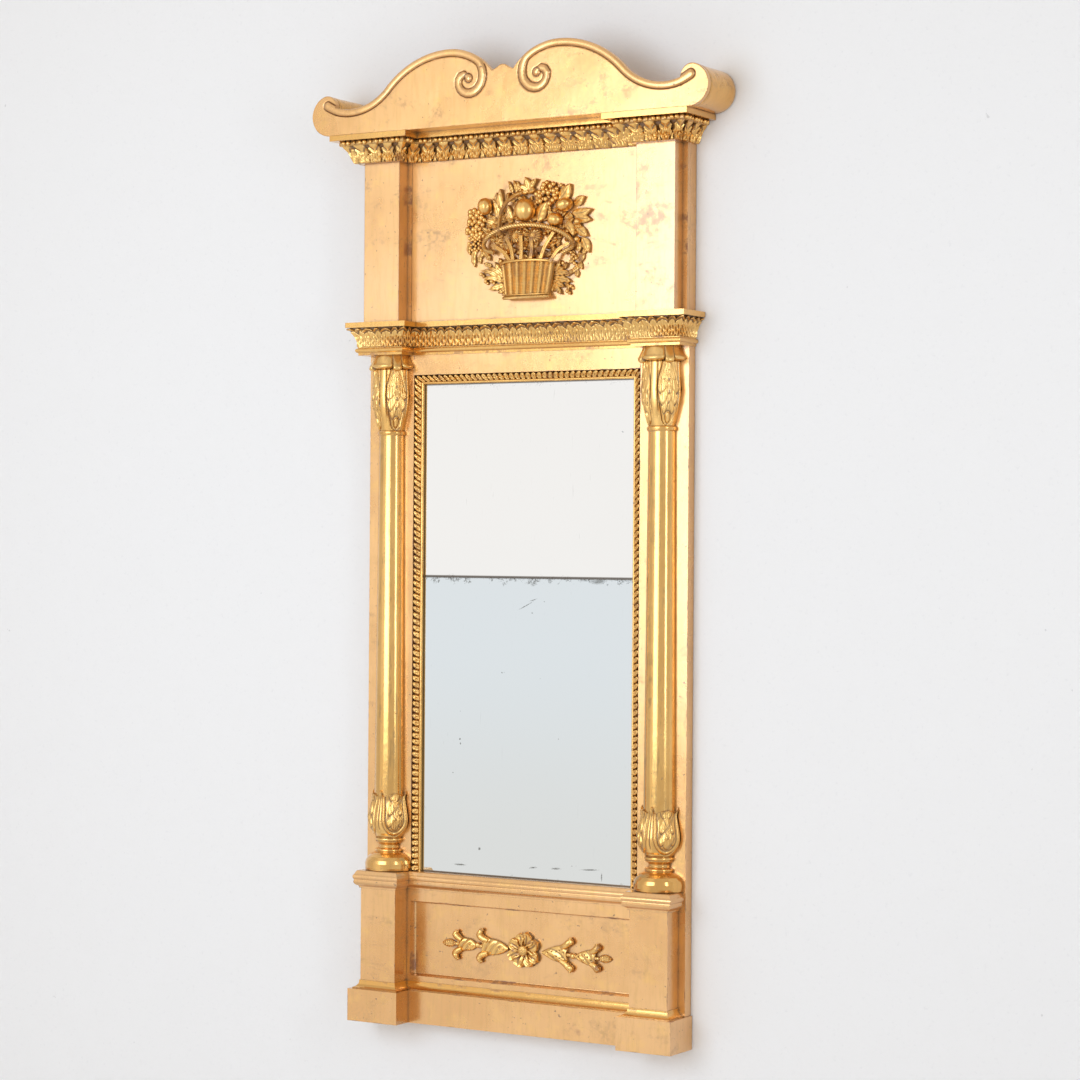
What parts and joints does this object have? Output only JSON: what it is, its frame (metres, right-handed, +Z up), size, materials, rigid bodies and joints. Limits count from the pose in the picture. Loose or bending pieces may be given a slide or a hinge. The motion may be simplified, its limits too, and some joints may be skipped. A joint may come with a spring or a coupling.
{
  "type": "pier mirror",
  "caption": "Tall narrow gilded wall mirror with half columns, a carved basket in the attic panel, a scrolled crest and a plinth; the glass is in an upper and a lower plate.",
  "frame": {"origin": "middle of the bottom edge of the back plane, which lies against the wall", "axes": "+Z up, -Y out of the wall towards the viewer, +X to the viewer's right"},
  "size_m": [0.7706, 0.1023, 1.65],
  "materials": {
    "gilt_wood": "softwood with gesso, red bole and worn satin gold leaf",
    "bare_pine": "bare pine, darkened with age",
    "upper_mirror": "old silvered glass, nearly clear",
    "lower_mirror": "old silvered glass, blue-grey, foxed along its upper edge",
    "wrought_iron": "dark wrought iron"
  },
  "bodies": {
    "frame": {"stile_left": "gilt_wood", "stile_right": "gilt_wood", "base_rail": "gilt_wood", "sill_rail": "gilt_wood", "frieze_rail": "gilt_wood", "top_rail": "gilt_wood", "plinth_left": "gilt_wood", "plinth_right": "gilt_wood", "plinth_board": "gilt_wood", "base_moulding": "gilt_wood", "pedestal_left": "gilt_wood", "pedestal_right": "gilt_wood", "pedestal_cap_left": "gilt_wood", "pedestal_cap_right": "gilt_wood", "ledge_moulding": "gilt_wood", "apron_panel": "gilt_wood", "apron_lip": "gilt_wood", "rosette": "gilt_wood", "garland_left": "gilt_wood", "garland_right": "gilt_wood", "column_base_left": "gilt_wood", "column_base_right": "gilt_wood", "lotus_cup_left": "gilt_wood", "lotus_cup_right": "gilt_wood", "column_shaft_left": "gilt_wood", "column_shaft_right": "gilt_wood", "column_collars": "gilt_wood", "capital_left": "gilt_wood", "capital_right": "gilt_wood", "sight_moulding_left": "gilt_wood", "sight_moulding_right": "gilt_wood", "sight_moulding_top": "gilt_wood", "upper_glass": "upper_mirror", "lower_glass": "lower_mirror", "backboards": "bare_pine", "backboard_sprigs": "wrought_iron", "entablature_blocks": "gilt_wood", "entablature_astragal": "gilt_wood", "entablature_leaf_band": "gilt_wood", "entablature_fillet": "gilt_wood", "attic_board": "gilt_wood", "attic_side_fillets": "gilt_wood", "attic_pilaster_left": "gilt_wood", "attic_pilaster_right": "gilt_wood", "fruit_basket": "gilt_wood", "cornice_beam": "gilt_wood", "cornice_blocks": "gilt_wood", "cornice_leaf_band": "gilt_wood", "cornice_pearls": "gilt_wood", "cornice_fillet": "gilt_wood", "crest_board": "gilt_wood", "crest_base_board": "gilt_wood", "crest_roll_left": "gilt_wood", "crest_roll_right": "gilt_wood", "crest_glue_blocks": "bare_pine", "hanger_plates": "wrought_iron", "hanger_staples": "wrought_iron", "hanger_screws": "wrought_iron"},
    "ring_left": {"hanging_ring_left": "wrought_iron"},
    "ring_right": {"hanging_ring_right": "wrought_iron"}
  },
  "joints": [
    {"name": "ring_left_hinge", "type": "hinge", "parent": "frame", "child": "ring_left", "pos_m": [-0.2656, -0.0051, 1.3695], "axis": [1, 0, 0], "range_deg": [0, 180]},
    {"name": "ring_right_hinge", "type": "hinge", "parent": "frame", "child": "ring_right", "pos_m": [0.2656, -0.0051, 1.3695], "axis": [1, 0, 0], "range_deg": [0, 180]}
  ]
}
